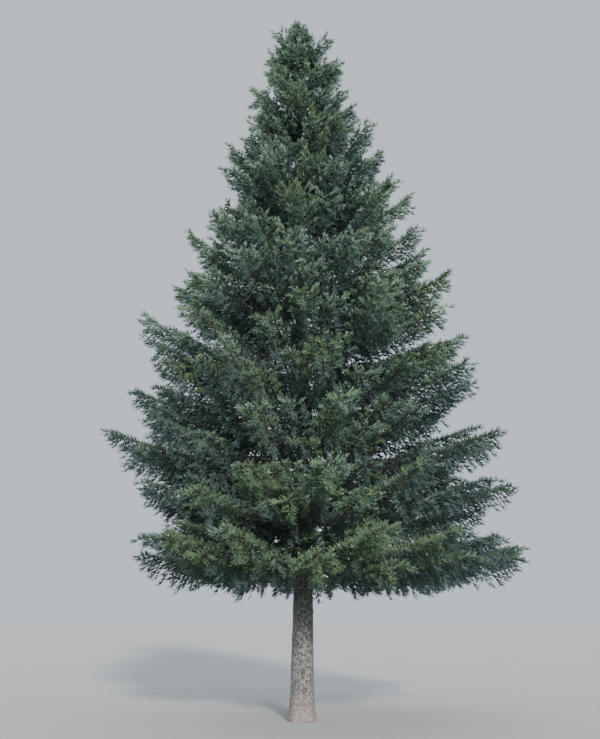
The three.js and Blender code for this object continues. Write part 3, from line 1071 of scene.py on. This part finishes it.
def needle_material(name, colour, roughness):
    """One shade of needle: a plain colour, dealt out by spray, with the needle's waxy gloss."""
    material, tree, shader = principled(name)
    fill_inputs(tree, shader, {
        "Base Color": (*colour, 1.0),
        "Roughness": roughness,
        "Specular IOR Level": 0.35,
        "Sheen Weight": 0.12,
        "Sheen Roughness": 0.4,
    })
    return material


def colour_property(name, description, value):
    return bpy.props.FloatVectorProperty(
        name=name, description=description, default=value, subtype="COLOR", size=3, min=0, max=1
    )


def length_property(name, description, value):
    return bpy.props.FloatProperty(
        name=name, description=description, default=value, min=0, unit="LENGTH", precision=4
    )


def count_property(name, description, value, least):
    return bpy.props.IntProperty(name=name, description=description, default=value, min=least)


def strength_property(name, description, value):
    return bpy.props.FloatProperty(name=name, description=description, default=value, min=0)


def angle_property(name, description, degrees):
    return bpy.props.FloatProperty(
        name=name, description=description, default=math.radians(degrees), subtype="ANGLE"
    )


class FirBarkSettings(bpy.types.PropertyGroup):
    ring_spacing: length_property("Ring spacing", "Distance between rings low down", 0.016)
    relief: length_property("Bark relief", "How far the bark's plates stand out", 0.006)
    sides: count_property("Trunk sides", "Faces round the trunk", 72, 12)
    ground: colour_property("Bark grey", "Main colour of the trunk", (0.095, 0.093, 0.088))
    patch: colour_property("Pale patches", "Colour of the pale mottling", (0.47, 0.45, 0.42))
    crack: colour_property("Dark lines", "Colour of cracks and level lines", (0.06, 0.057, 0.053))
    flare: colour_property("Root flare", "Colour near the ground", (0.64, 0.5, 0.48))
    limb: colour_property("Limb bark", "Main colour of the boughs", (0.17, 0.15, 0.125))
    limb_patch: colour_property("Limb patches", "Pale lichen on the boughs", (0.36, 0.35, 0.31))
    twig: colour_property("Twig bark", "Colour of the thin twigs", (0.11, 0.085, 0.055))


class FirCrownSettings(bpy.types.PropertyGroup):
    seed: count_property("Seed", "Start of the random growth", 7, 0)
    twig_spacing: length_property("Twig spacing", "Distance between twigs along a limb", 0.078)
    shoot_spacing: length_property("Shoot spacing", "Distance between shoots along a twig", 0.075)
    shoot_length: length_property("Shoot length", "Length of a shoot with needles", 0.088)
    needles_per_shoot: count_property("Needles per shoot", "Needles round each shoot", 9, 4)
    needle_length: length_property("Needle length", "Length of a needle", 0.055)
    needle_width: length_property("Needle width", "Width of a needle", 0.0145)
    # Needle colours: young tips, outer, middle, deep and inner needles are lit and shaded copies of
    # one blue-green, older needles and olive shade of one olive, and fresh needles a lit
    # yellow-green, as painted light and shade; young tips are also paler by age.
    tips: colour_property("Young tips", "Pale grey-green ends", (0.27, 0.378, 0.298))
    fresh: colour_property("Fresh needles", "Yellow-green outer sprays", (0.2, 0.3, 0.187))
    outer: colour_property("Outer needles", "Blue-green outer sprays", (0.179, 0.279, 0.199))
    middle: colour_property("Middle needles", "Mid green sprays", (0.137, 0.225, 0.151))
    deep: colour_property("Deep needles", "Darker sprays inside the crown", (0.093, 0.16, 0.127))
    old: colour_property("Older needles", "Olive sprays that hang low", (0.157, 0.236, 0.124))
    olive: colour_property("Olive shade", "Dark sprays under older ones", (0.093, 0.149, 0.089))
    inner: colour_property("Inner needles", "Darkest sprays near the trunk", (0.075, 0.12, 0.112))


class FirStageSettings(bpy.types.PropertyGroup):
    floor_radius: length_property("Floor radius", "Radius of the pale floor", 90.0)
    floor: colour_property("Floor", "Colour of the floor", (0.62, 0.62, 0.6))
    sky: colour_property("Backdrop", "Colour of the light all round", (0.68, 0.75, 0.84))
    sky_strength: strength_property("Fill light", "Strength of the light all round", 1.0)
    key_strength: strength_property("Key light", "Strength of the main light", 3.2)
    key_softness: angle_property("Key softness", "Apparent width of the main light", 6)
    lens: bpy.props.FloatProperty(
        name="Lens", description="Camera lens in millimetres", default=43.2, min=10
    )
    eye_height: length_property("Eye height", "Camera height above the ground", 1.6)
    distance: length_property("Distance", "From the camera to the trunk", 14.0)
    pitch: angle_property("Pitch", "How far the camera looks up", 15.1)


TRUNK_TOP_RINGS = 90
DETAIL_TO_HEIGHT = 2.7
FULL_RELIEF_RADIUS = 0.15

# Rows of old branch scars: their heights, how many in a row, and the size of one.
SCAR_HEIGHTS = (0.78, 1.14, 1.52, 1.9)
SCARS_PER_ROW = 5
SCAR_DEPTH = 0.011
SCAR_HALF_TURN = 0.16
SCAR_HALF_HEIGHT = 0.022


def trunk_relief(depth, heights):
    """Bark plates, level wrinkles and rows of old branch scars on the trunk."""

    def relief(turn, step):
        height = heights[step]
        side = level_way(turn) * 0.9
        fade = clamp01(trunk_radius(height) / FULL_RELIEF_RADIUS)
        plates = noise.fractal(side * 2.2 + Vector((0, 0, height * 7)), 0.9, 2.1, 4)
        wrinkles = noise.noise(side * 1.7 + Vector((3.1, 0, height * 46)))
        swell = noise.noise(side * 0.8 + Vector((0, 9.7, height * 1.3)))
        out = depth * (0.75 * plates + 0.4 * wrinkles + 1.2 * swell) * fade
        for row, scar in enumerate(SCAR_HEIGHTS):
            for n in range(SCARS_PER_ROW):
                spot = row * 1.1 + n * 2 * math.pi / SCARS_PER_ROW + 0.35 * math.sin(7.0 * n + row)
                aside = math.atan2(math.sin(turn - spot), math.cos(turn - spot)) / SCAR_HALF_TURN
                above = (height - scar - 0.03 * math.sin(3.0 * n + row)) / SCAR_HALF_HEIGHT
                out += SCAR_DEPTH * math.exp(-(aside**2) - above**2)
        return out + FLARE_LOBE_DEPTH * math.cos(FLARE_LOBES * turn) * flare_share(height)

    return relief


class FIR_OT_trunk(bpy.types.Operator):
    """Grow the barked trunk with its root flare and old branch scars"""

    bl_idname = "fir.trunk"
    bl_label = "Trunk"

    def execute(self, context):
        bark = context.scene.fir_bark
        low_rings = round(DETAIL_TO_HEIGHT / bark.ring_spacing)
        heights = [DETAIL_TO_HEIGHT * k / low_rings for k in range(low_rings)]
        rest = TRUNK_LENGTH - DETAIL_TO_HEIGHT
        heights += [
            DETAIL_TO_HEIGHT + rest * k / TRUNK_TOP_RINGS for k in range(TRUNK_TOP_RINGS + 1)
        ]
        places = [trunk_centre(height) for height in heights]
        radii = [trunk_radius(height) for height in heights]
        bm = bmesh.new()
        tube(bm, places, radii, bark.sides, trunk_relief(bark.relief, heights))
        # The lowest ring stands level on the ground.
        for v in bm.verts:
            if v.co.z < bark.ring_spacing * 0.4:
                v.co.z = 0.0
        material = bark_material(
            "trunk bark",
            bark.ground,
            bark.patch,
            bark.crack,
            patch_scale=38.0,
            line_scale=12.0,
            amount=0.95,
            bump=0.012,
            flare=bark.flare,
        )
        mesh = finished_mesh("trunk_bark", bm)
        new_piece("trunk_bark", mesh, [material], ["trunk"])
        return {"FINISHED"}


class FIR_OT_boughs(bpy.types.Operator):
    """Grow the main boughs, and the finer limbs beside them inside the foliage"""

    bl_idname = "fir.boughs"
    bl_label = "Boughs"

    def execute(self, context):
        bark = context.scene.fir_bark
        limbs, _, _ = grow_crown(context.scene.fir_crown)
        main = limbs.facts["main"]
        colours = (bark.limb, bark.limb_patch, bark.crack)
        bough_bark = bark_material(
            "bough bark", *colours, patch_scale=16.0, line_scale=11.0, amount=0.7, bump=0.006
        )
        limb_bark = bark_material(
            "limb bark", *colours, patch_scale=26.0, line_scale=18.0, amount=0.55, bump=0.003
        )
        nodes = [f"bough_{b['node']}" for b in plan_boughs() if b["has_bough"]]
        mesh = limb_mesh("main_boughs", limbs, main, step=0.07, sides=10, relief_depth=0.3)
        new_piece("main_boughs", mesh, [bough_bark], nodes)
        mesh = limb_mesh("finer_limbs", limbs, ~main, step=0.16, sides=5, relief_depth=0.2)
        new_piece("finer_limbs", mesh, [limb_bark], [])
        return {"FINISHED"}


# Tiers that share one piece of needles or twigs, so that none passes the face limit.
NEEDLE_ZONES = ((0, 0), (1, 1), (2, 2), (3, 3), (4, 5), (6, 7), (8, 10))
TWIG_ZONES = ((0, 1), (2, 3), (4, 6), (7, 10))


def zone_nodes(zone):
    """The foliage solids of a zone's tiers. The highest zone has the top shoot's too."""
    first, last = zone
    nodes = [f"foliage_{b['node']}" for b in plan_boughs() if first <= b["tier"] <= last]
    if last == len(BOUGHS_PER_TIER) - 1:
        nodes.append("foliage_top")
    return nodes


def in_zone(stems, zone):
    return (stems.facts["tier"] >= zone[0]) & (stems.facts["tier"] <= zone[1])


class FIR_OT_twigs(bpy.types.Operator):
    """Grow the thin twigs that carry the shoots and their needles"""

    bl_idname = "fir.twigs"
    bl_label = "Twigs"

    def execute(self, context):
        bark = context.scene.fir_bark
        _, twigs, _ = grow_crown(context.scene.fir_crown)
        colours = (bark.twig, bark.limb, bark.crack)
        material = bark_material(
            "twig bark", *colours, patch_scale=60.0, line_scale=45.0, amount=0.5, bump=0.001
        )
        for number, zone in enumerate(TWIG_ZONES, 1):
            thin = twigs.kept(in_zone(twigs, zone))
            mesh = stem_mesh(f"twigs_{number}", thin)
            new_piece(f"twigs_{number}", mesh, [material], zone_nodes(zone))
        return {"FINISHED"}


# The shades in the order of their materials, most of them lit and shaded copies as painted light
# and shade, the darker one behind each as painted shade, and the share of needles it has.
# Young tips are also paler by age, and fresh and older needles yellower and more olive by age.
YOUNG_LIT_TIPS, FRESH_LIT, OUTER_LIT, MIDDLE_HALF_LIT, DEEP_SHADED, OLD_LIT, OLIVE_SHADE, INNER_DARK_SHADE = range(8)
PAINTED_SHADE_BEHIND = np.array([MIDDLE_HALF_LIT, OLD_LIT, DEEP_SHADED, DEEP_SHADED, INNER_DARK_SHADE, OLIVE_SHADE, INNER_DARK_SHADE, INNER_DARK_SHADE])
NEEDLES_BY_SHADE = np.array([1.0, 1.0, 1.0, 1.0, 0.8, 1.0, 0.8, 0.5])


# Where parts of the crown set in and where they are in full, in metres from the foot of the trunk.
WHOLE_CROWN = (2.0, 11.0)
LOW_CROWN = (6.5, 3.0)
FOOT_OF_CROWN = (3.5, 2.3)
TOP_OF_CROWN = (9.0, 10.5)
SIDES_OF_CROWN = (0.6, 2.6)
FRONT_OF_CROWN = (0.0, 2.0)

# What a shoot's shade goes by: the light that it gets, painted into its colour as light and shade,
# and how old and yellow its needles are.
SKIRT_LENGTH = (0.42, 0.2)
LIGHT_ON_TOP = 0.68
DEPTH_OF_SPRAYS = 0.78
LEAST_LIGHT_AT_TOP = 0.42
AGE_SPACING = 1.6
AGE_OF_OLIVE = 0.5
AGE_OF_FRESH = 0.1


def shoot_shades_with_painted_light(shoots, rng):
    """The shade of each shoot, with painted light and shade by how far out it grows, whether it
    hangs and where it clumps.
    """
    end = shoots.points[:, 2]
    across, behind, height = end.T
    hangs = shoots.facts["hangs"]
    low = gone(height, *LOW_CROWN)
    lowest = gone(height, *FOOT_OF_CROWN)
    beside = gone(np.abs(across), *SIDES_OF_CROWN)
    before = gone(-behind, *FRONT_OF_CROWN)
    front_left = np.clip(-behind * 0.25 - across * 0.18, -0.15, 0.6)

    # Painted light: shoots further out and on the crests are lighter, and painted shade darkens
    # those that hang below a crest.
    depth = np.minimum(shoots.facts["depth"], 1.05)
    reach = mix(*SKIRT_LENGTH, gone(height, *WHOLE_CROWN))
    drop = np.clip(shoots.facts["drop"] / reach, -0.35, 1.1)
    swell = mounds(end, MOUND_SPACING)
    light = LIGHT_ON_TOP + 1.1 * (depth - DEPTH_OF_SPRAYS) - 0.65 * drop
    light = light + 0.15 * shoots.facts["tone"] + 0.14 * swell
    light += 0.04 * shoots.facts["end"] + 0.07 * rng.uniform(-1, 1, len(shoots))
    # Painted light on the low front of the crown, and painted shade on its low sides, deeper
    # between the swells.
    light += 0.3 * lowest * (1 - beside) * before
    light -= low * (0.08 + beside * (0.48 + 0.3 * np.clip(0.3 - 2 * swell, 0, 1)))
    # Near the top the painted shade goes no darker than this.
    light = np.maximum(light, LEAST_LIGHT_AT_TOP * gone(height, *TOP_OF_CROWN))

    older = 0.8 * shoots.facts["hue"] + 0.4 * mounds(end, AGE_SPACING, 2.0)
    older = older + low * (0.36 + 0.3 * hangs + 0.4 * front_left)
    older += 0.3 * lowest * (1 - 0.8 * beside)
    olive = older > AGE_OF_OLIVE
    fresh = (older > AGE_OF_FRESH) & ~olive
    blue_green = ~fresh & ~olive
    # Each shoot takes the palest shade within its hue that its painted light reaches.
    tones = np.full(len(shoots), INNER_DARK_SHADE)
    for least_light, sprays, shade in (
        (0.1, olive, OLIVE_SHADE),
        (0.2, ~olive, DEEP_SHADED),
        (0.38, olive, OLD_LIT),
        (0.4, ~olive, MIDDLE_HALF_LIT),
        (0.58, blue_green, OUTER_LIT),
        (0.64, fresh, FRESH_LIT),
        (0.78, blue_green, YOUNG_LIT_TIPS),
    ):
        tones[(light > least_light) & sprays] = shade
    return tones


class FIR_OT_needles(bpy.types.Operator):
    """Grow the needles on every shoot, in shades dealt out by spray, with painted light and shade
    among them
    """

    bl_idname = "fir.needles"
    bl_label = "Needles"

    def execute(self, context):
        crown = context.scene.fir_crown
        _, _, shoots = grow_crown(crown)
        rng = np.random.default_rng(crown.seed + 1)
        tones = shoot_shades_with_painted_light(shoots, rng)
        # Lit and shaded copies of a few needle colours, as painted light and shade, brightest
        # first.
        materials = [
            needle_material(name, colour, roughness)
            for name, colour, roughness in (
                ("young tips", crown.tips, 0.5),
                ("fresh needles", crown.fresh, 0.5),
                ("outer needles", crown.outer, 0.48),
                ("middle needles", crown.middle, 0.5),
                ("deep needles", crown.deep, 0.55),
                ("older needles", crown.old, 0.6),
                ("olive shade", crown.olive, 0.6),
                ("inner needles", crown.inner, 0.65),
            )
        ]
        for number, zone in enumerate(NEEDLE_ZONES, 1):
            mask = in_zone(shoots, zone)
            mesh = needle_mesh(f"needles_{number}", shoots.kept(mask), tones[mask], crown, rng)
            new_piece(f"needles_{number}", mesh, materials, zone_nodes(zone))
        return {"FINISHED"}


FLOOR_SIDES = 96
KEY_COLOUR = (1.0, 0.97, 0.92)
TOWARDS_KEY = (0.2, -0.91, 0.37)
CAMERA_ASIDE = -0.03
CAMERA_SENSOR = 36.0
CAMERA_SEES_TO = 400.0


class FIR_OT_stage(bpy.types.Operator):
    """Lay the pale floor and set the soft studio light and the camera"""

    bl_idname = "fir.stage"
    bl_label = "Stage"

    def execute(self, context):
        stage = context.scene.fir_stage
        scene = context.scene
        bm = bmesh.new()
        bmesh.ops.create_circle(bm, cap_ends=True, segments=FLOOR_SIDES, radius=stage.floor_radius)
        mesh = bpy.data.meshes.new("floor")
        bm.to_mesh(mesh)
        bm.free()
        floor = bpy.data.objects.new("floor", mesh)
        scene.collection.objects.link(floor)
        material, tree, shader = principled("pale floor")
        fill_inputs(tree, shader, {"Base Color": (*stage.floor, 1.0), "Roughness": 0.9})
        mesh.materials.append(material)

        world = bpy.data.worlds.new("soft light")
        world.use_nodes = True
        tree = world.node_tree
        light = {"Color": (*stage.sky, 1.0), "Strength": stage.sky_strength}
        fill_inputs(tree, tree.nodes["Background"], light)
        scene.world = world

        lamp = bpy.data.lights.new("key light", "SUN")
        lamp.energy = stage.key_strength
        lamp.angle = stage.key_softness
        lamp.color = KEY_COLOUR
        key = bpy.data.objects.new("key light", lamp)
        key.rotation_euler = Vector(TOWARDS_KEY).to_track_quat("Z", "Y").to_euler()
        scene.collection.objects.link(key)

        lens = bpy.data.cameras.new("camera")
        lens.lens = stage.lens
        lens.sensor_width = CAMERA_SENSOR
        lens.clip_end = CAMERA_SEES_TO
        camera = bpy.data.objects.new("camera", lens)
        camera.location = (CAMERA_ASIDE, -stage.distance, stage.eye_height)
        camera.rotation_euler = (math.pi / 2 + stage.pitch, 0.0, 0.0)
        scene.collection.objects.link(camera)
        scene.camera = camera
        return {"FINISHED"}


class FIR_PT_sidebar(bpy.types.Panel):
    """Balsam fir, piece by piece"""

    bl_idname = "FIR_PT_sidebar"
    bl_label = "Balsam Fir"
    bl_space_type = "VIEW_3D"
    bl_region_type = "UI"
    bl_category = "Fir"

    def draw(self, context):
        layout = self.layout
        for settings in ("fir_bark", "fir_crown", "fir_stage"):
            group = getattr(context.scene, settings)
            box = layout.box()
            for name in group.__annotations__:
                box.prop(group, name)
        for operator in OPERATORS:
            layout.operator(operator.bl_idname)


SETTINGS = (
    ("fir_bark", FirBarkSettings),
    ("fir_crown", FirCrownSettings),
    ("fir_stage", FirStageSettings),
)
OPERATORS = (FIR_OT_stage, FIR_OT_trunk, FIR_OT_boughs, FIR_OT_twigs, FIR_OT_needles)


def register():
    for name, settings in SETTINGS:
        bpy.utils.register_class(settings)
        setattr(bpy.types.Scene, name, bpy.props.PointerProperty(type=settings))
    for operator in OPERATORS:
        bpy.utils.register_class(operator)
    bpy.utils.register_class(FIR_PT_sidebar)


def unregister():
    bpy.utils.unregister_class(FIR_PT_sidebar)
    for operator in reversed(OPERATORS):
        bpy.utils.unregister_class(operator)
    for name, settings in reversed(SETTINGS):
        delattr(bpy.types.Scene, name)
        bpy.utils.unregister_class(settings)


def main():
    register()
    bpy.ops.fir.stage()
    bpy.ops.fir.trunk()
    bpy.ops.fir.boughs()
    bpy.ops.fir.twigs()
    bpy.ops.fir.needles()
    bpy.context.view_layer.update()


if __name__ == "__main__":
    main()
